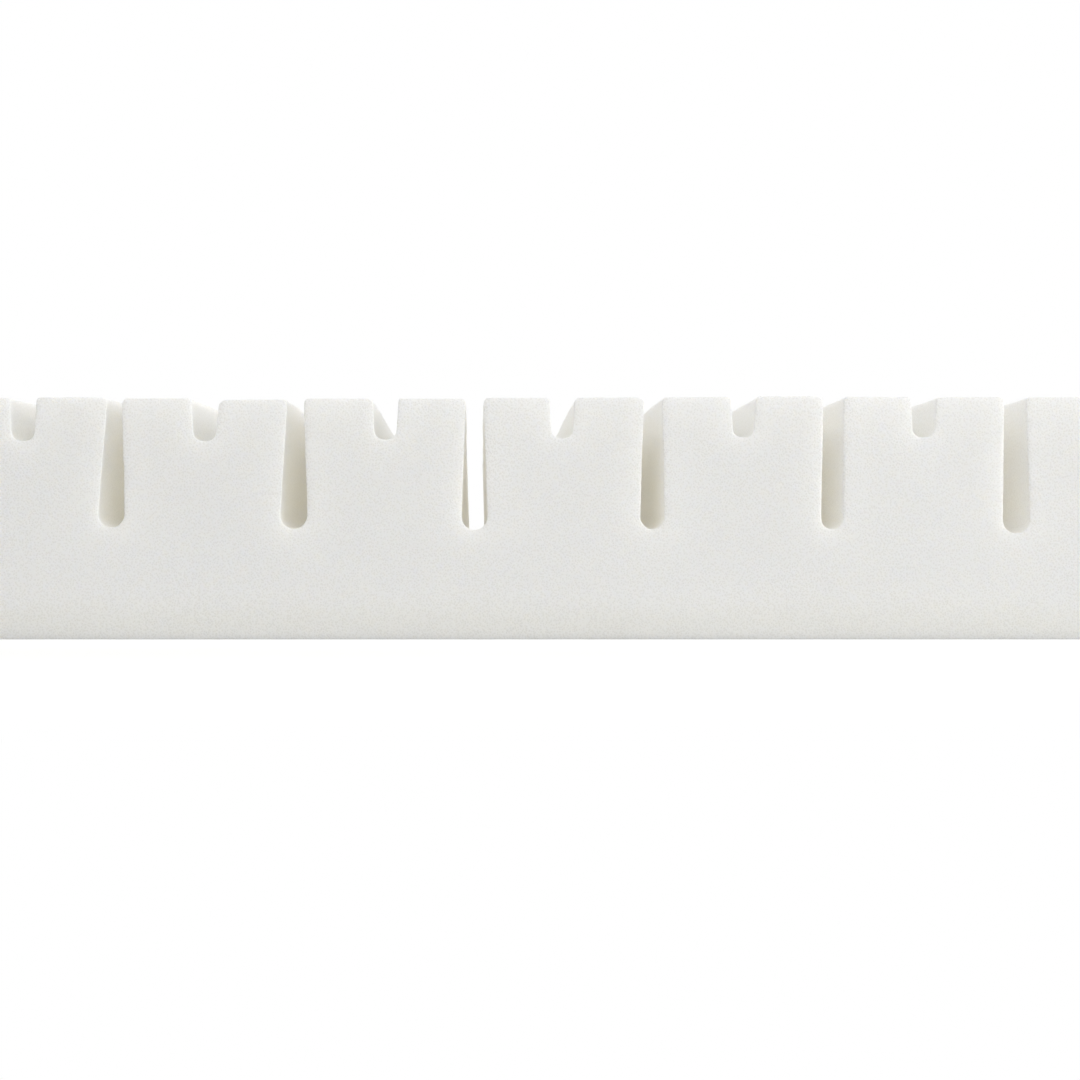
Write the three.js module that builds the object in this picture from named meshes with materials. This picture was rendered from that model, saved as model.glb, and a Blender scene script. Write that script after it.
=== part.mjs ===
// Crib mattress: the bare foam block, lying flat, with rows of cuts across its top.
// Millimetres, +Z up. X runs along the mattress, Y across it, and the origin is the middle of its underside.
// A deep cut with a round foot comes every 60 mm, and a shallow groove lies half way between two of them.
// Foam is soft, so the teeth between the cuts don't stand quite alike: each cut has its own mouth and floor.

import * as THREE from 'three';

const LENGTH = 1200;
const WIDTH = 600;
const THICKNESS = 80;

const STEP = 30; // from the middle of a deep cut to the middle of the next shallow groove
const LAST_STEP = 19; // the outermost groove on each side of the middle cut
const END_RADIUS = 1.6; // the rounded edge along each end of the top

const GROOVE_TAPER = 0.7; // how much narrower a groove's foot is than its mouth
const GROOVE_CORNER = 3; // the radius of the corners at its foot

const LIP_FACETS = 3;
const CORNER_FACETS = 3;
const FOOT_FACETS = 8;

// The block is drawn as outlines at these distances in from its front side. The last column says which height
// of a tooth holds there.
const STATIONS = [
  { inward: 0, height: 'edge' },
  { inward: 60, height: 'near' },
  { inward: 180, height: 'inner' },
  { inward: WIDTH - 180, height: 'inner' },
  { inward: WIDTH - 60, height: 'near' },
  { inward: WIDTH, height: 'edge' },
];

// The cut at an even step is a deep one, and at an odd step it is a shallow groove. Shift is the foot's place
// to the right of its step, lean is the mouth's place to the right of its foot, and floor is the foot's height.
const DEEP = { shift: 0, foot: 8.4, mouth: 6.2, lean: 0.3, floor: 36.4, lipLeft: 1.7, lipRight: 1.8 };
const SHALLOW = { shift: 0, foot: 8.1, mouth: 8.1, lean: 0, floor: 66.4, lipLeft: 1.4, lipRight: 1.6 };
const BACK_MOUTH = { deep: 7.2, shallow: 8.3 };

// The cuts near the middle, as they stand along the front side.
const MIDDLE_CUTS = [
  { step: -5, shift: 0.45, foot: 8.5, mouth: 8.6, lean: 0.1, floor: 66.0, lipLeft: 1.5, lipRight: 1.5 },
  { step: -4, shift: -0.3, foot: 8.5, mouth: 5.0, lean: 1.2, floor: 37.3, lipLeft: 1.5, lipRight: 2.0 },
  { step: -3, shift: 0.8, foot: 8.3, mouth: 8.8, lean: 0.1, floor: 65.9, lipLeft: 1.5, lipRight: 3.0 },
  { step: -2, shift: 0.4, foot: 8.75, mouth: 5.5, lean: 0.6, floor: 36.8, lipLeft: 1.0, lipRight: 1.8 },
  { step: -1, shift: 0.85, foot: 8.0, mouth: 8.4, lean: 0.1, floor: 66.4, lipLeft: 1.5, lipRight: 1.0 },
  { step: 0, shift: 0.45, foot: 8.55, mouth: 5.6, lean: 0.05, floor: 36.4, lipLeft: 1.8, lipRight: 2.2 },
  { step: 1, shift: -0.35, foot: 7.7, mouth: 8.0, lean: 0, floor: 66.9, lipLeft: 1.3, lipRight: 1.8 },
  { step: 2, shift: -0.45, foot: 7.9, mouth: 6.0, lean: 0.3, floor: 36.6, lipLeft: 2.0, lipRight: 1.5 },
  { step: 3, shift: -0.15, foot: 8.0, mouth: 8.3, lean: 0, floor: 67.0, lipLeft: 1.3, lipRight: 1.5 },
  { step: 4, shift: -0.7, foot: 7.45, mouth: 7.0, lean: 0.4, floor: 36.4, lipLeft: 1.8, lipRight: 1.5 },
  { step: 5, shift: -0.25, foot: 8.1, mouth: 8.3, lean: 0, floor: 67.0, lipLeft: 1.8, lipRight: 1.2 },
  { step: 6, shift: 0.6, foot: 8.9, mouth: 7.5, lean: -0.45, floor: 35.2, lipLeft: 1.5, lipRight: 1.5 },
];
// Along the back side the middle cut stands wide open, because the tooth on its left leans away.
const MIDDLE_BACK = { step: 0, mouth: 9.2, lean: -1.15 };

// The teeth near the middle, each named by the step on its left, with the heights of its top along both sides
// of the block, near them and further in.
const MIDDLE_TEETH = [
  { step: -6, edge: 80.2, near: 80.9, inner: 81.0 },
  { step: -5, edge: 80.3, near: 81.3, inner: 81.3 },
  { step: -4, edge: 80.1, near: 81.1, inner: 81.0 },
  { step: -3, edge: 79.6, near: 80.2, inner: 79.4 },
  { step: -2, edge: 80.0, near: 79.4, inner: 78.1 },
  { step: -1, edge: 80.1, near: 79.5, inner: 78.1 },
  { step: 0, edge: 80.4, near: 79.8, inner: 78.5 },
  { step: 1, edge: 80.4, near: 79.8, inner: 78.6 },
  { step: 2, edge: 80.5, near: 80.4, inner: 80.2 },
  { step: 3, edge: 80.5, near: 80.3, inner: 80.0 },
  { step: 4, edge: 80.5, near: 80.3, inner: 80.0 },
  { step: 5, edge: 80.5, near: 80.1, inner: 79.8 },
  { step: 6, edge: 80.4, near: 79.8, inner: 79.5 },
];

// Cuts and teeth further out vary by about this much.
const PLACE_VARIES = 0.5;
const SIZE_VARIES = 0.3;
const HEIGHT_VARIES = 0.8;

function wobble(step, phase) {
  return Math.sin(step * 2.4 + phase);
}

function frontCut(step) {
  const known = MIDDLE_CUTS.find((cut) => cut.step === step);
  if (known) return known;
  const plain = step % 2 === 0 ? DEEP : SHALLOW;
  return {
    ...plain,
    shift: PLACE_VARIES * wobble(step, 0),
    foot: plain.foot + SIZE_VARIES * wobble(step, 1),
    mouth: plain.mouth + SIZE_VARIES * wobble(step, 2),
    lean: plain.lean + PLACE_VARIES * wobble(step, 3),
    floor: plain.floor + SIZE_VARIES * wobble(step, 4),
  };
}

function backCut(step) {
  const front = frontCut(step);
  if (step === MIDDLE_BACK.step) return { ...front, mouth: MIDDLE_BACK.mouth, lean: MIDDLE_BACK.lean };
  const mouth = step % 2 === 0 ? BACK_MOUTH.deep : BACK_MOUTH.shallow;
  return {
    ...front,
    mouth: mouth + SIZE_VARIES * wobble(step, 5),
    lean: PLACE_VARIES * wobble(step, 6),
  };
}

// The cut at a station. Its foot runs straight across, and its mouth eases from the front's to the back's.
function cutAt(step, station) {
  const front = frontCut(step);
  const back = backCut(step);
  const across = station.inward / WIDTH;
  return {
    ...front,
    mouth: THREE.MathUtils.lerp(front.mouth, back.mouth, across),
    lean: THREE.MathUtils.lerp(front.lean, back.lean, across),
  };
}

function toothTop(step, station) {
  const known = MIDDLE_TEETH.find((tooth) => tooth.step === step);
  if (known) return known[station.height];
  const inside = station.height === 'edge' ? 0 : HEIGHT_VARIES * wobble(step, 7);
  return THICKNESS + inside;
}

// Adds an arc's points to an outline, from one angle to another, both ends included.
function addArc(outline, x, z, radius, from, to, facets) {
  for (let i = 0; i <= facets; i++) {
    const angle = THREE.MathUtils.lerp(from, to, i / facets);
    outline.push(new THREE.Vector2(x + radius * Math.cos(angle), z + radius * Math.sin(angle)));
  }
}

// Goes down a cut's right wall, round its foot and up its left wall.
function addCut(outline, step, station) {
  const cut = cutAt(step, station);
  const footX = step * STEP + cut.shift;
  const mouthX = footX + cut.lean;
  const rightX = mouthX + cut.mouth / 2;
  const leftX = mouthX - cut.mouth / 2;
  const rightTop = toothTop(step, station);
  const leftTop = toothTop(step - 1, station);
  const { lipLeft, lipRight } = cut;
  const quarter = Math.PI / 2;

  addArc(outline, rightX + lipRight, rightTop - lipRight, lipRight, quarter, 2 * quarter, LIP_FACETS);
  if (step % 2 === 0) {
    const radius = cut.foot / 2;
    addArc(outline, footX, cut.floor + radius, radius, 0, -2 * quarter, FOOT_FACETS);
  } else {
    const half = (cut.foot - GROOVE_TAPER) / 2 - GROOVE_CORNER;
    const cornerZ = cut.floor + GROOVE_CORNER;
    addArc(outline, footX + half, cornerZ, GROOVE_CORNER, 0, -quarter, CORNER_FACETS);
    addArc(outline, footX - half, cornerZ, GROOVE_CORNER, -quarter, -2 * quarter, CORNER_FACETS);
  }
  addArc(outline, leftX - lipLeft, leftTop - lipLeft, lipLeft, 0, quarter, LIP_FACETS);
}

// The block's outline in X and Z at a station, from the underside's left corner anticlockwise.
function outlineAt(station) {
  const endX = LENGTH / 2;
  const rightTop = toothTop(LAST_STEP, station);
  const leftTop = toothTop(-LAST_STEP - 1, station);
  const outline = [new THREE.Vector2(-endX, 0), new THREE.Vector2(endX, 0)];
  addArc(outline, endX - END_RADIUS, rightTop - END_RADIUS, END_RADIUS, 0, Math.PI / 2, LIP_FACETS);
  for (let step = LAST_STEP; step >= -LAST_STEP; step--) addCut(outline, step, station);
  addArc(outline, END_RADIUS - endX, leftTop - END_RADIUS, END_RADIUS, Math.PI / 2, Math.PI, LIP_FACETS);
  return outline;
}

// One closed skin through outlines that have the same number of points, from the front side to the back side.
function loftAcross(stations) {
  const outlines = stations.map(outlineAt);
  const count = outlines[0].length;
  const positions = [];
  const indices = [];
  outlines.forEach((outline, row) => {
    const y = stations[row].inward - WIDTH / 2;
    outline.forEach((point) => positions.push(point.x, y, point.y));
  });
  for (let row = 0; row + 1 < outlines.length; row++) {
    for (let i = 0; i < count; i++) {
      const a = row * count + i;
      const b = row * count + ((i + 1) % count);
      indices.push(a, b + count, b, a, a + count, b + count);
    }
  }
  const lastRow = (outlines.length - 1) * count;
  THREE.ShapeUtils.triangulateShape(outlines[0], []).forEach(([a, b, c]) => indices.push(a, b, c));
  THREE.ShapeUtils.triangulateShape(outlines[outlines.length - 1], []).forEach(([a, b, c]) => {
    indices.push(lastRow + a, lastRow + c, lastRow + b);
  });
  const geometry = new THREE.BufferGeometry();
  geometry.setAttribute('position', new THREE.Float32BufferAttribute(positions, 3));
  geometry.setIndex(indices);
  geometry.computeVertexNormals();
  return geometry;
}

const foam = new THREE.MeshStandardMaterial({ color: 0xe9e7e2, roughness: 0.95, metalness: 0 });
const block = new THREE.Mesh(loftAcross(STATIONS), foam);
block.name = 'foam_block';

const mattress = new THREE.Group();
mattress.add(block);

export default mattress;
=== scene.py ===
# %% [markdown]
# A crib mattress without its cover is one slab of white foam. Deep slots and shallow grooves run across
# its top, so that it gives evenly and lets air through. There is nothing else on it, so the whole look
# comes from how foam takes the light: it is matt, finely grained, a little ragged where it was cut, and
# it glows where light gets into a thin edge. The solid block is already modelled and stays the measure of
# everything here. It is made of flat facets, so this lesson draws a finer skin through its outlines,
# roughens that skin, and lights it.

# %% The solid block
import math

import bmesh
import bpy
import numpy as np
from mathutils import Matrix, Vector, geometry


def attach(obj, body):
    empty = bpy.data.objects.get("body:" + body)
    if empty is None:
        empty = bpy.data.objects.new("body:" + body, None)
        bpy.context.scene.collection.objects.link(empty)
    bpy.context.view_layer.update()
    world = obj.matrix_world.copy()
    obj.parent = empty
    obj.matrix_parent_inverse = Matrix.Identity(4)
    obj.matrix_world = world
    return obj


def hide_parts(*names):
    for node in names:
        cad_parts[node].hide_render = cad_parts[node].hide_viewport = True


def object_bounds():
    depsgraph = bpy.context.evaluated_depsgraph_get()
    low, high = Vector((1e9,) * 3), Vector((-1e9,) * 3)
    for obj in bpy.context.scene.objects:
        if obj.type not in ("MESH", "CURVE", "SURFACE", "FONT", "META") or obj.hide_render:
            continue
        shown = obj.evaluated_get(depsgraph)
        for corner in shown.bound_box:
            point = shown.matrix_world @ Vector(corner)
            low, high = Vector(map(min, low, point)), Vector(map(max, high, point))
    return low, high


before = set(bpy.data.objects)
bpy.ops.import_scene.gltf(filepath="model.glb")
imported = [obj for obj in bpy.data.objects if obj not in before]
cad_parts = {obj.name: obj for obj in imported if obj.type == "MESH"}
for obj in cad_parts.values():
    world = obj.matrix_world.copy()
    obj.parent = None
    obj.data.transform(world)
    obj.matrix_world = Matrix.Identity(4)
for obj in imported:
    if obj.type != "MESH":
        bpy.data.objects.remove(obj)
MM = 0.001
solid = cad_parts["foam_block"]
solid_low, solid_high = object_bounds()
print("the block in mm:", [round(side / MM, 1) for side in solid_high - solid_low])

# %% [markdown]
# The block was drawn through a few outlines, one behind the other, from the front side to the back side.
# They could be typed in again, but then a change to the block would be missed, so they are read back from
# it. On a copy whose loose facets are merged, the edges that lie in one upright plane and border the skin
# form a ring. Walking round that ring gives its corners in order, which is all that a finer skin needs.

# %% One outline of the block
NEAR = 0.01 * MM


def ring_at(shell, place):
    """The shell's corners in the upright plane at this place, in order, as pairs of X and Z."""
    beside = {}
    for edge in shell.edges:
        in_plane = all(abs(corner.co.y - place) < NEAR for corner in edge.verts)
        if in_plane and any(abs(face.normal.y) < 0.5 for face in edge.link_faces):
            for corner in edge.verts:
                beside.setdefault(corner, []).append(edge.other_vert(corner))
    first = min(beside, key=lambda corner: corner.co.x + corner.co.z)
    ring = [first, min(beside[first], key=lambda corner: corner.co.z)]
    while ring[-1] is not first:
        ring += [corner for corner in beside[ring[-1]] if corner is not ring[-2]]
    return [(corner.co.x, corner.co.z) for corner in ring[:-1]]


# %% All of its outlines
def outlines_of(solid):
    """Where across the block its outlines stand, and the outlines themselves."""
    shell = bmesh.new()
    shell.from_mesh(solid.data)
    bmesh.ops.remove_doubles(shell, verts=shell.verts, dist=NEAR)
    places = sorted({round(corner.co.y, 5) for corner in shell.verts})
    rings = [ring_at(shell, place) for place in places]
    shell.free()
    return np.array(places), np.array(rings)


places, rings = outlines_of(solid)
print("outlines:", rings.shape[0], "of", rings.shape[1], "corners, at", (places / MM).round(), "mm")

# %% [markdown]
# An outline's round stretches are short straight facets. A subdivision surface would round them, but it
# would also pull every corner in and shrink the block. Here each facet stands for a piece of arc instead,
# and the turns at its two ends say how much of one, so its new points are bowed out on to that arc. The
# walls of the slots get the closest points, because their rims are what the eye reads, and the long flats
# get by with fewer.

# %% More points along each outline
WALL_SPACING = 0.9 * MM
FLAT_SPACING = 3 * MM
LONGEST_FACET = 2.2 * MM


def spacing_along(rings, edge, longest):
    """How far apart the new points stand along each straight stretch of the outlines."""
    steep = np.abs(edge[0, :, 1]) > np.abs(edge[0, :, 0])
    at_end = np.abs(rings[0, :, 0]) > rings[0, :, 0].max() - NEAR
    fine = (steep | (longest < LONGEST_FACET)) & ~at_end
    return np.where(fine, WALL_SPACING, FLAT_SPACING)


def finer(rings):
    """The same outlines with more points, as many on each one."""
    edge = np.roll(rings, -1, axis=1) - rings
    length = np.linalg.norm(edge, axis=2)
    heading = np.arctan2(edge[..., 1], edge[..., 0])
    turn = (heading - np.roll(heading, 1, axis=1) + np.pi) % (2 * np.pi) - np.pi
    swing = (turn + np.roll(turn, -1, axis=1)) / 2
    longest = length.max(axis=0)
    bow = np.where(longest < LONGEST_FACET, length / 2 * np.tan(swing / 4), 0)

    pieces = np.ceil(longest / spacing_along(rings, edge, longest)).astype(int)
    which = np.repeat(np.arange(len(pieces)), pieces)
    share = np.concatenate([np.arange(n) / n for n in pieces])
    outward = np.stack([edge[..., 1], -edge[..., 0]], axis=2) / length[..., None]
    bowed = 4 * share * (1 - share) * bow[:, which]
    return rings[:, which] + edge[:, which] * share[:, None] + outward[:, which] * bowed[..., None]


outlines = finer(rings)
print("points on each outline:", outlines.shape[1])

# %% [markdown]
# The skin is a loft: rows of points, each row an outline at one place across the block. Between the
# solid's own outlines a smooth curve carries each point, so that a tooth's top sags without a kink. At
# the two cut sides the rows stand close together and draw in a little, which rounds the rim as a foam saw
# leaves it. Along the foot they hardly draw in, because the block's weight presses that edge flat.

# %% Where the rows stand
RIM_RADIUS = 0.3 * MM
SIDE_DRAWN_IN = 0.48 * MM
RIM_TURNS = (0, 45, 90)
ROWS_BEHIND_RIM = (1.2, 2.4, 5, 15)
ROWS_INSIDE = (60, 120, 180)


def rows_of_one_half():
    """Pairs of how far in a row stands and how far its outline draws in, from the side to the middle."""
    rows = [(0, SIDE_DRAWN_IN)]
    for degrees in RIM_TURNS:
        turn = math.radians(degrees)
        rows.append((RIM_RADIUS * (1 - math.cos(turn)), RIM_RADIUS * (1 - math.sin(turn))))
    rows += [(inward * MM, 0) for inward in ROWS_BEHIND_RIM + ROWS_INSIDE]
    return rows


half = rows_of_one_half()
front, back = places[0], places[-1]
rows = [(front + inward, by) for inward, by in half]
rows += [((front + back) / 2, 0)]
rows += [(back - inward, by) for inward, by in reversed(half)]
print("rows across the block:", len(rows))


# %% The outline at any row
UNDERSIDE_FADE = 12 * MM
TOP_FADE = 76 * MM
TOP = 80 * MM
RIM_SHARES = {0: 0.05, UNDERSIDE_FADE: 1, TOP_FADE: 1, TOP: 0.7}


def outline_at(place):
    """The outline at a place between the solid's own ones, on a smooth curve through them."""
    slope = np.gradient(outlines, places, axis=0)
    k = min(np.searchsorted(places, place, side="right"), len(places) - 1) - 1
    gap = places[k + 1] - places[k]
    t = (place - places[k]) / gap
    ends = (2 * t**3 - 3 * t**2 + 1) * outlines[k] + (3 * t**2 - 2 * t**3) * outlines[k + 1]
    slopes = (t**3 - 2 * t**2 + t) * slope[k] + (t**3 - t**2) * slope[k + 1]
    return ends + slopes * gap


def drawn_in(outline, by):
    """The outline moved into the foam by this much, square to itself, and by less at its top and foot."""
    along = np.roll(outline, -1, axis=0) - np.roll(outline, 1, axis=0)
    inward = np.stack([-along[:, 1], along[:, 0]], axis=1)
    inward /= np.linalg.norm(inward, axis=1)[:, None]
    share = np.interp(outline[:, 1], list(RIM_SHARES), list(RIM_SHARES.values()))
    return outline + by * share[:, None] * inward


loft = [drawn_in(outline_at(place), by) for place, by in rows]
print("points in the rows:", len(rows) * len(loft[0]))

# %% [markdown]
# The two cut sides are flat faces with a toothed edge. One face with thousands of corners would shade
# badly, and so would the long thin triangles that fill it. A grid of points inside the edge keeps the
# triangles even, and a constrained triangulation joins edge and grid.

# %% Points inside a flat side
GRID = 8 * MM


def inside(point_x, point_z, outline):
    """Whether each point lies inside the outline, by counting the edges to its right."""
    x, z = outline[:, 0], outline[:, 1]
    next_x, next_z = np.roll(x, -1), np.roll(z, -1)
    spans = (z > point_z[:, None]) != (next_z > point_z[:, None])
    with np.errstate(divide="ignore", invalid="ignore"):
        crossing = x + (point_z[:, None] - z) / (next_z - z) * (next_x - x)
    return (spans & (point_x[:, None] < crossing)).sum(axis=1) % 2 == 1


def grid_inside(outline):
    """Evenly spaced points inside an outline, none of them right at its edge."""
    low, high = outline.min(axis=0), outline.max(axis=0)
    grid_x, grid_z = np.meshgrid(np.arange(low[0], high[0], GRID), np.arange(low[1], high[1], GRID))
    grid = np.stack([grid_x.ravel(), grid_z.ravel()], axis=1)
    return grid[inside(grid[:, 0], grid[:, 1], drawn_in(outline, RIM_RADIUS))]


# %% The flat sides
def flat_side(outline, grid):
    """Triangles over an outline's points and then the grid's."""
    count = len(outline)
    border = [(i, (i + 1) % count) for i in range(count)]
    corners = [Vector(point) for point in np.concatenate([outline, grid])]
    _, _, faces, sources, _, _ = geometry.delaunay_2d_cdt(corners, border, [], 1, 1e-9)
    return [[sources[corner][0] for corner in face] for face in faces]


front_grid, back_grid = grid_inside(loft[0]), grid_inside(loft[-1])
front_faces, back_faces = flat_side(loft[0], front_grid), flat_side(loft[-1], back_grid)
print("flat sides:", len(front_faces), "and", len(back_faces), "triangles")

# %% [markdown]
# All of it becomes one closed mesh: the rows first, then the grids of the front and the back. Three
# attributes go with it. Two are for the next step and say how strongly a point takes part in the ragged
# cut of the rims, and how strongly in the soft unevenness. The underside has neither, because it lies
# flat. The third is for the finish and says where shade is painted into the foam's colour: in the feet
# of the shallow grooves, and round the foot of the sides, where the block meets what it lies on.

# %% The skin's points and faces
def skin_points():
    """Every point of the skin in three dimensions."""
    flat = loft + [front_grid, back_grid]
    across = [place for place, _ in rows] + [front, back]
    return np.concatenate([np.insert(points, 1, place, axis=1) for points, place in zip(flat, across)])


def skin_faces():
    """Four-cornered faces between the rows, and the triangles of the two flat sides."""
    count = len(loft[0])
    last_row = (len(rows) - 1) * count
    faces = []
    for start in range(0, last_row, count):
        for i in range(count):
            a, b = start + i, start + (i + 1) % count
            faces.append((a, a + count, b + count, b))
    to_front_grid = last_row
    to_back_grid = last_row + len(front_grid)
    for face in front_faces:
        faces.append([corner if corner < count else corner + to_front_grid for corner in face])
    for face in back_faces:
        turned = [corner + (last_row if corner < count else to_back_grid) for corner in reversed(face)]
        faces.append(turned)
    return faces


# %% Where shade is painted on the foam
RIM_FADE = 2.5 * MM
STEP = 30 * MM
HALF_GROOVE = 6 * MM
GROOVE_FOOT = 64 * MM
# Painted shade: the groove feet and the foot of the sides are darkened in the colour, not by the lamps.
GROOVE_SHADE = (68 * MM, 75 * MM)
GROOVE_SHARE = 0.65
FOOT_SHADE = (3 * MM, 18 * MM)


def painted_shade_share(x, from_side, z):
    """How much shade is painted on at each point: most at the foot of the sides, less in the grooves."""
    step = np.round(x / STEP)
    in_groove = (step % 2 == 1) & (abs(x - step * STEP) < HALF_GROOVE) & (z > GROOVE_FOOT)
    groove = np.where(in_groove, np.interp(z, GROOVE_SHADE, (GROOVE_SHARE, 0)), 0)
    foot = np.interp(z, FOOT_SHADE, (1, 0))
    return np.maximum(groove * np.clip(from_side / RIM_FADE, 0, 1), foot)


# %% The skin as a mesh
def skin_mesh():
    """The closed skin, with the masks of its two kinds of roughness and of its painted shade."""
    points = skin_points()
    mesh = bpy.data.meshes.new("foam")
    mesh.from_pydata(points.tolist(), [], skin_faces())
    mesh.shade_smooth()
    x, y, z = points.T
    from_side = np.minimum(y - front, back - y)
    on_grid = np.arange(len(points)) >= len(rows) * len(loft[0])
    masks = {
        "rim": np.where(on_grid, 0, np.exp(-from_side / RIM_FADE) * np.clip(z / RIM_FADE, 0, 1)),
        "lift": np.clip(z / UNDERSIDE_FADE, 0, 1),
        # painted shade in the groove feet and round the foot of the sides
        "painted_shade": painted_shade_share(x, from_side, z),
    }
    for name, values in masks.items():
        mesh.attributes.new(name, "FLOAT", "POINT").data.foreach_set("value", values.astype(np.float32))
    return mesh


foam = bpy.data.objects.new("foam_core", skin_mesh())
bpy.context.scene.collection.objects.link(foam)
foam.data.calc_loop_triangles()
print("skin:", len(foam.data.vertices), "points,", len(foam.data.loop_triangles), "triangles")

# %% [markdown]
# Foam cells are torn open by the saw, so a cut edge is never quite straight, and the soft block is never
# quite flat. Cloth simulation is for thin covers, and there is none here. Both kinds of unevenness follow
# from where a point is on the skin, which makes them a job for Geometry Nodes: one noise for the rims and
# a far wider one for the softness, each moving the points along the skin's own normal.

# %% A helper for node trees
def calculate(tree, operation, first, second):
    """A Math node on two values, each an output of another node or a plain number."""
    node = tree.nodes.new("ShaderNodeMath")
    node.operation = operation
    for socket, value in zip(node.inputs, (first, second)):
        if isinstance(value, bpy.types.NodeSocket):
            tree.links.new(value, socket)
        else:
            socket.default_value = value
    return node.outputs[0]


# %% One noise that pushes the skin
def noise_push(tree, inputs, size, depth, mask):
    """A push in or out: noise of a size, times a depth, as far as a mask lets it."""
    place = tree.nodes.new("GeometryNodeInputPosition")
    noise = tree.nodes.new("ShaderNodeTexNoise")
    noise.noise_dimensions = "4D"
    noise.inputs["Detail"].default_value = 2.0
    tree.links.new(place.outputs["Position"], noise.inputs["Vector"])
    tree.links.new(inputs.outputs["Seed"], noise.inputs["W"])
    tree.links.new(calculate(tree, "DIVIDE", 1.0, inputs.outputs[size]), noise.inputs["Scale"])
    share = tree.nodes.new("GeometryNodeInputNamedAttribute")
    share.data_type = "FLOAT"
    share.inputs["Name"].default_value = mask
    centred = calculate(tree, "SUBTRACT", noise.outputs[0], 0.5)
    deep = calculate(tree, "MULTIPLY", centred, inputs.outputs[depth])
    return calculate(tree, "MULTIPLY", deep, share.outputs["Attribute"])


# %% The tree that roughens the foam
SKIN_INPUTS = {
    "Rim size": 1.6 * MM,
    "Rim depth": 0.5 * MM,
    "Soft size": 70 * MM,
    "Soft depth": 1.4 * MM,
    "Seed": 3.0,
}


def roughness_tree():
    """A node tree that moves a skin's points in and out by two noises."""
    tree = bpy.data.node_groups.new("Cut foam", "GeometryNodeTree")
    tree.interface.new_socket("Skin", in_out="INPUT", socket_type="NodeSocketGeometry")
    for name in SKIN_INPUTS:
        tree.interface.new_socket(name, in_out="INPUT", socket_type="NodeSocketFloat")
    tree.interface.new_socket("Finish", in_out="INPUT", socket_type="NodeSocketMaterial")
    tree.interface.new_socket("Skin", in_out="OUTPUT", socket_type="NodeSocketGeometry")
    inputs = tree.nodes.new("NodeGroupInput")
    ragged = noise_push(tree, inputs, "Rim size", "Rim depth", "rim")
    uneven = noise_push(tree, inputs, "Soft size", "Soft depth", "lift")
    normal = tree.nodes.new("GeometryNodeInputNormal")
    offset = tree.nodes.new("ShaderNodeVectorMath")
    offset.operation = "SCALE"
    tree.links.new(normal.outputs["Normal"], offset.inputs[0])
    tree.links.new(calculate(tree, "ADD", ragged, uneven), offset.inputs["Scale"])
    move = tree.nodes.new("GeometryNodeSetPosition")
    tree.links.new(inputs.outputs["Skin"], move.inputs["Geometry"])
    tree.links.new(offset.outputs[0], move.inputs["Offset"])
    realize = tree.nodes.new("GeometryNodeRealizeInstances")
    tree.links.new(move.outputs["Geometry"], realize.inputs["Geometry"])
    finish = tree.nodes.new("GeometryNodeSetMaterial")
    tree.links.new(realize.outputs["Geometry"], finish.inputs["Geometry"])
    tree.links.new(inputs.outputs["Finish"], finish.inputs["Material"])
    out = tree.nodes.new("NodeGroupOutput")
    tree.links.new(finish.outputs["Geometry"], out.inputs["Skin"])
    return tree


# %% [markdown]
# White foam throws back nearly all the light that it gets, and the light travels some millimetres inside
# it before it comes out. That is why its thin edges glow, and why a deep slot isn't black: the light
# bounces on down between the walls, and turns a little beige on the way, because each bounce takes some
# of the blue and a trace of the green. So the base colour is far whiter than it looks in a photograph,
# and subsurface scattering carries the light, the red a little further than the blue.
#
# The grain is the foam's own cells. A Voronoi pattern has a dot for each cell and walls between them, and
# it gives both the tone, a shade darker in the open cells, and the height of a bump. A wide, weak noise
# on top keeps the tone from being the same all over, and the skin's own mask paints shade into the
# colour.

# %% The foam's cells
CELL_SIZE = 0.7 * MM
MOTTLE_SIZE = 30 * MM
MOTTLE_SHARE = 0.15


def foam_cells(tree):
    """How solid the foam is: low in the middle of a cell, high at the walls, and a little mottled."""
    place = tree.nodes.new("ShaderNodeTexCoord")
    cells = tree.nodes.new("ShaderNodeTexVoronoi")
    cells.inputs["Scale"].default_value = 1 / CELL_SIZE
    mottle = tree.nodes.new("ShaderNodeTexNoise")
    mottle.inputs["Scale"].default_value = 1 / MOTTLE_SIZE
    for pattern in (cells, mottle):
        tree.links.new(place.outputs["Object"], pattern.inputs["Vector"])
    centred = calculate(tree, "SUBTRACT", mottle.outputs[0], 0.5)
    mottled = calculate(tree, "MULTIPLY", centred, MOTTLE_SHARE)
    return calculate(tree, "ADD", cells.outputs["Distance"], mottled)


# %% The foam's finish
OPEN_BELOW, WALL_ABOVE = 0.22, 0.55
OPEN_CELL = (0.925, 0.918, 0.896, 1)
CELL_WALL = (1.0, 0.9965, 0.9845, 1)
GLOW_DEPTH = 7 * MM
GLOW_SHARES = (1.0, 0.96, 0.87)
CELL_RELIEF = 0.12 * MM
# The colour that the painted shade multiplies into the foam's base colour.
PAINTED_SHADE_TONE = (0.86, 0.86, 0.85, 1)


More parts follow.
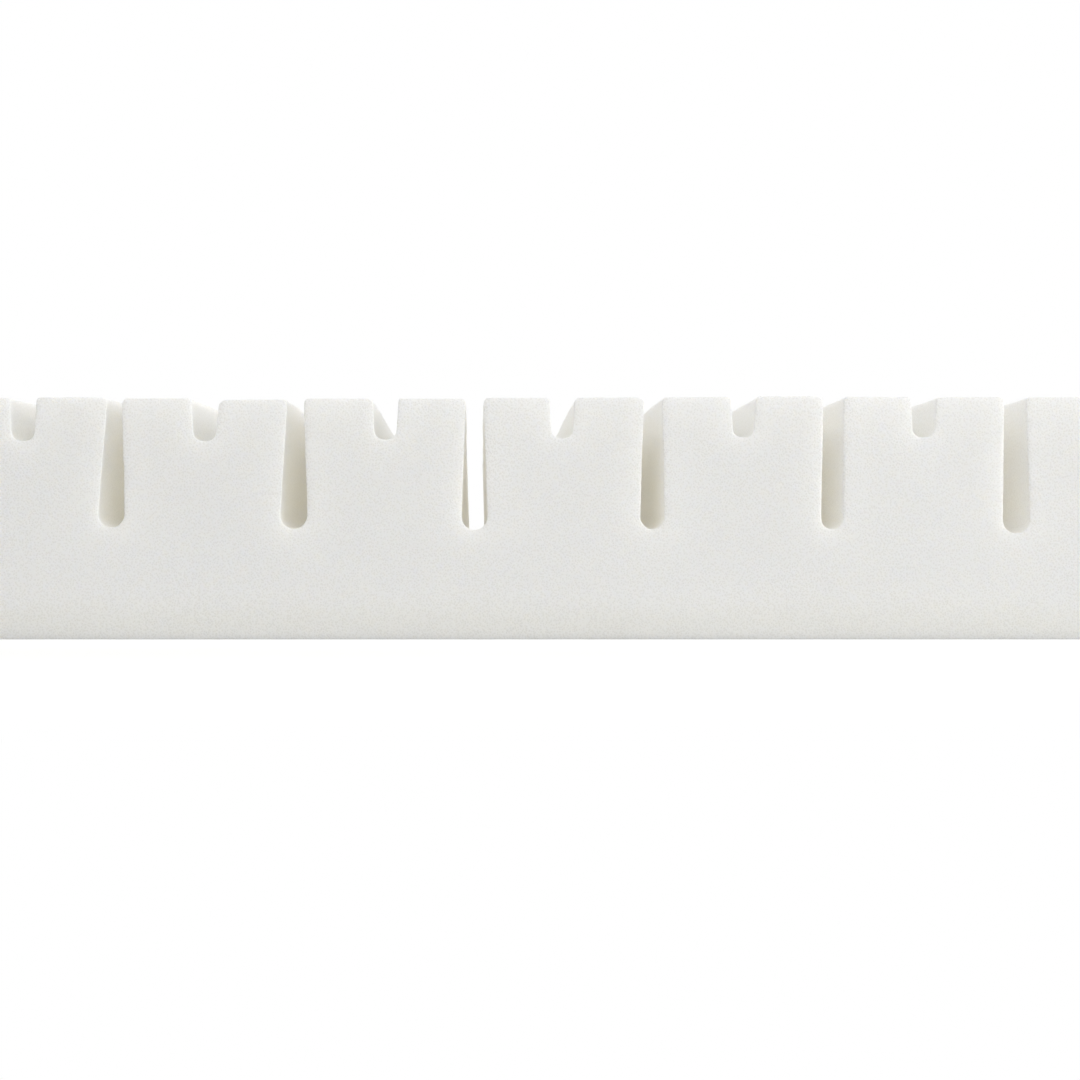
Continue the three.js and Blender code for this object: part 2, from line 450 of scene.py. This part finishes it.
def foam_finish():
    """Matt white open-cell foam with light in it."""
    finish = bpy.data.materials.new("foam")
    finish.use_nodes = True
    tree = finish.node_tree
    shader = tree.nodes["Principled BSDF"]
    shader.inputs["Roughness"].default_value = 1.0
    shader.inputs["Specular IOR Level"].default_value = 0.1
    shader.inputs["Subsurface Weight"].default_value = 1.0
    shader.inputs["Subsurface Radius"].default_value = GLOW_SHARES
    shader.inputs["Subsurface Scale"].default_value = GLOW_DEPTH
    solidity = foam_cells(tree)
    tone = tree.nodes.new("ShaderNodeValToRGB")
    tone.color_ramp.elements[0].position = OPEN_BELOW
    tone.color_ramp.elements[0].color = OPEN_CELL
    tone.color_ramp.elements[1].position = WALL_ABOVE
    tone.color_ramp.elements[1].color = CELL_WALL
    tree.links.new(solidity, tone.inputs["Fac"])
    # Painted shade: this mask darkens the base colour in the groove feet and round the foot of the sides.
    painted_shade = tree.nodes.new("ShaderNodeAttribute")
    painted_shade.attribute_name = "painted_shade"
    shade_painter = tree.nodes.new("ShaderNodeMix")
    shade_painter.data_type = "RGBA"
    shade_painter.blend_type = "MULTIPLY"
    shade_painter.inputs["B"].default_value = PAINTED_SHADE_TONE
    tree.links.new(painted_shade.outputs["Fac"], shade_painter.inputs["Factor"])
    tree.links.new(tone.outputs["Color"], shade_painter.inputs["A"])
    tree.links.new(shade_painter.outputs["Result"], shader.inputs["Base Color"])
    bump = tree.nodes.new("ShaderNodeBump")
    bump.inputs["Distance"].default_value = CELL_RELIEF
    tree.links.new(solidity, bump.inputs["Height"])
    tree.links.new(bump.outputs["Normal"], shader.inputs["Normal"])
    return finish


# %% [markdown]
# The tree is now given its sizes and run. Its result becomes a plain mesh, so that nothing is left to
# work out when the part is used. The piece is hung on the only body, and the solid block is hidden.

# %% The finished block
tree = roughness_tree()
sockets = {item.name: item.identifier for item in tree.interface.items_tree if item.in_out == "INPUT"}
roughen = foam.modifiers.new("Cut foam", "NODES")
roughen.node_group = tree
for name, value in SKIN_INPUTS.items():
    roughen[sockets[name]] = value
roughen[sockets["Finish"]] = foam_finish()
depsgraph = bpy.context.evaluated_depsgraph_get()
finished = bpy.data.meshes.new_from_object(foam.evaluated_get(depsgraph))
foam.modifiers.clear()
foam.data = finished
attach(foam, "root")
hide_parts("foam_block")
print("finished block:", len(foam.data.polygons), "faces")

# %% [markdown]
# The block stands in a white studio. The floor and the surroundings look plain white to the camera, and
# light the foam as ordinary, less bright surfaces do. One material can do both, because the Light Path
# node tells the camera's rays from the rest. A floor that lit the foam as strongly as it looks would wash
# out its lower edge.
#
# A floor that is plain white everywhere would let the block float. So right beside the block the camera
# sees an ordinary pale floor instead, a little brighter than it is. In the lamps' full light that is
# white too, but the block's soft shadow shows on it. It fades into the plain white a hand's breadth or
# two away.

# %% Two helpers for the floor
SHADE_REACH = 0.4


def mixed(tree, share, first, second):
    """A mix of two shaders, with this share of the second."""
    mix = tree.nodes.new("ShaderNodeMixShader")
    tree.links.new(share, mix.inputs["Fac"])
    tree.links.new(first.outputs[0], mix.inputs[1])
    tree.links.new(second.outputs[0], mix.inputs[2])
    return mix


def near_block(tree):
    """One at the block's foot, and less further off, down to nothing."""
    place = tree.nodes.new("ShaderNodeTexCoord").outputs["Object"]
    outside = {"ABSOLUTE": (0, 0, 0), "SUBTRACT": solid_high, "MAXIMUM": (0, 0, 0), "LENGTH": (0, 0, 0)}
    for operation, value in outside.items():
        step = tree.nodes.new("ShaderNodeVectorMath")
        step.operation = operation
        step.inputs[1].default_value = value
        tree.links.new(place, step.inputs[0])
        place = step.outputs[0]
    fade = tree.nodes.new("ShaderNodeMapRange")
    fade.interpolation_type = "SMOOTHSTEP"
    fade.inputs["From Max"].default_value = SHADE_REACH
    fade.inputs["To Min"].default_value = 1.0
    fade.inputs["To Max"].default_value = 0.0
    tree.links.new(step.outputs["Value"], fade.inputs["Value"])
    return fade.outputs["Result"]


# %% The white floor
FLOOR_SIZE = 12
FLOOR_GAP = 0.1 * MM
FLOOR_GREY = (0.24, 0.24, 0.24, 1)
PALE = (0.8, 0.8, 0.8, 1)
PALE_LIFT = 0.33


def glowing(tree, strength):
    """A plain white glow."""
    glow = tree.nodes.new("ShaderNodeEmission")
    glow.inputs["Strength"].default_value = strength
    return glow


def floor_paint():
    """White to the camera apart from the block's shadow, and grey to all other light."""
    paint = bpy.data.materials.new("floor")
    paint.use_nodes = True
    tree = paint.node_tree
    grey = tree.nodes["Principled BSDF"]
    grey.inputs["Base Color"].default_value = FLOOR_GREY
    grey.inputs["Roughness"].default_value = 1.0
    grey.inputs["Specular IOR Level"].default_value = 0.0
    pale = tree.nodes.new("ShaderNodeBsdfDiffuse")
    pale.inputs["Color"].default_value = PALE
    lifted = tree.nodes.new("ShaderNodeAddShader")
    tree.links.new(pale.outputs[0], lifted.inputs[0])
    tree.links.new(glowing(tree, PALE_LIFT).outputs[0], lifted.inputs[1])
    seen = mixed(tree, near_block(tree), glowing(tree, 1.0), lifted)
    path = tree.nodes.new("ShaderNodeLightPath")
    both = mixed(tree, path.outputs["Is Camera Ray"], grey, seen)
    tree.links.new(both.outputs[0], tree.nodes["Material Output"].inputs["Surface"])
    return paint


def white_floor():
    """A wide floor just under the block."""
    bpy.ops.mesh.primitive_plane_add(size=FLOOR_SIZE, location=(0, 0, -FLOOR_GAP))
    floor = bpy.context.object
    floor.name = "floor"
    floor.data.materials.append(floor_paint())


white_floor()
print("floor:", FLOOR_SIZE, "m wide")

# %% [markdown]
# Light that has gone into the foam near its foot comes out again through the underside and is lost there,
# which draws a dark line along the lower edge. On white paper in a bright room some comes back. A faintly
# lit sheet as large as the underside does the same, and nothing else sees it.

# %% The lit sheet under the block
SHEET_GLOW = 0.45


def lit_sheet():
    """A faintly glowing sheet between the block and the floor."""
    bpy.ops.mesh.primitive_plane_add(size=1, location=(0, 0, -FLOOR_GAP / 2))
    sheet = bpy.context.object
    sheet.name = "lit_sheet"
    sheet.scale = (solid_high[0] - solid_low[0], solid_high[1] - solid_low[1], 1)
    paint = bpy.data.materials.new("lit_sheet")
    paint.use_nodes = True
    tree = paint.node_tree
    tree.links.new(glowing(tree, SHEET_GLOW).outputs[0], tree.nodes["Material Output"].inputs["Surface"])
    sheet.data.materials.append(paint)


lit_sheet()
print("lit sheet:", round(FLOOR_GAP / 2 / MM, 2), "mm under the block")

# %% [markdown]
# Beyond the floor's edge the camera sees the world. It works as the floor does: plain white to the
# camera, and a weaker, slightly warm light to everything else, as from the walls of a bright room.

# %% The white surroundings
WARM_WHITE = (1.0, 0.997, 0.976)
AROUND_STRENGTH = 0.33


def white_surroundings():
    """A world that looks white and gives an even, weaker light."""
    world = bpy.data.worlds.new("studio")
    world.use_nodes = True
    tree = world.node_tree
    light = tree.nodes["Background"]
    light.inputs["Color"].default_value = (*WARM_WHITE, 1)
    light.inputs["Strength"].default_value = AROUND_STRENGTH
    white = tree.nodes.new("ShaderNodeBackground")
    white.inputs["Color"].default_value = (1, 1, 1, 1)
    path = tree.nodes.new("ShaderNodeLightPath")
    both = mixed(tree, path.outputs["Is Camera Ray"], light, white)
    tree.links.new(both.outputs[0], tree.nodes["World Output"].inputs["Surface"])
    return world


bpy.context.scene.world = white_surroundings()
print("surroundings: strength", AROUND_STRENGTH)

# %% [markdown]
# Seven large lamps shape the foam. Two in front make the side that faces the camera bright. A low one on
# the right shines along that side into the teeth's right-hand walls, so that their rims glow at every
# height. A higher one on the right reaches the tops of the walls that face it and leaves their feet in
# shade, and a steep one on the left lights the walls that face the other way down to the foot. The one at
# the back sends light along the slots, and a weak one keeps the left end from going grey. The light has
# to bounce many times before it reaches a slot's foot.

# %% The lamps
BOUNCES = 64


def soft_light(name, place, aim, size, power):
    """A large soft lamp at a place, turned to an aim."""
    lamp = bpy.data.lights.new(name, "AREA")
    lamp.size = size
    lamp.energy = power
    lamp.color = WARM_WHITE
    holder = bpy.data.objects.new(name, lamp)
    holder.location = place
    holder.rotation_euler = (Vector(aim) - Vector(place)).to_track_quat("-Z", "Y").to_euler()
    bpy.context.scene.collection.objects.link(holder)


soft_light("front", place=(0, -2.0, 0.5), aim=(0, -0.3, 0.05), size=4.0, power=35.5)
soft_light("near front", place=(0.3, -2.6, 0.5), aim=(0, -0.3, 0.05), size=1.8, power=15.5)
soft_light("low right", place=(2.0, -0.99, 0.2), aim=(0, -0.3, 0.05), size=0.75, power=20)
soft_light("high right", place=(2.4, -0.6, 1.5), aim=(0, -0.3, 0.05), size=1.0, power=12.5)
soft_light("steep left", place=(-1.6, -0.1, 3.0), aim=(0, -0.1, 0.05), size=1.0, power=14)
soft_light("back", place=(-0.1, 2.2, 0.9), aim=(0, 0.3, 0.05), size=1.6, power=33)
soft_light("left end", place=(-2.5, 0.9, 0.55), aim=(-0.6, 0, 0.04), size=1.2, power=5)
bpy.context.scene.cycles.diffuse_bounces = BOUNCES
bpy.context.scene.cycles.max_bounces = BOUNCES
print("lamps:", len(bpy.data.lights))

# %% [markdown]
# The camera looks straight at the long side, level and about three quarters of a metre away. It stands a
# little to the right of the slot that can be seen through, and sees a stretch of some 360 mm. A small
# shift places that stretch in the picture as it should be, without turning the camera, which would make
# the edges converge.

# %% The camera
CAMERA_PLACE = (2.3 * MM, -1064 * MM, 30.3 * MM)
FOCAL_LENGTH = 76.65
SENSOR_WIDTH = 36
SHIFT_RIGHT = 60 / 1080
SHIFT_UP = 8 / 1080

lens = bpy.data.cameras.new("camera")
lens.lens = FOCAL_LENGTH
lens.sensor_width = SENSOR_WIDTH
lens.shift_x = SHIFT_RIGHT
lens.shift_y = SHIFT_UP
camera = bpy.data.objects.new("camera", lens)
camera.location = CAMERA_PLACE
camera.rotation_euler = (math.radians(90), 0, 0)
bpy.context.scene.collection.objects.link(camera)
bpy.context.scene.camera = camera
bpy.context.scene.view_settings.view_transform = "Standard"
print("camera:", round(front - CAMERA_PLACE[1], 3), "m from the side that it looks at")
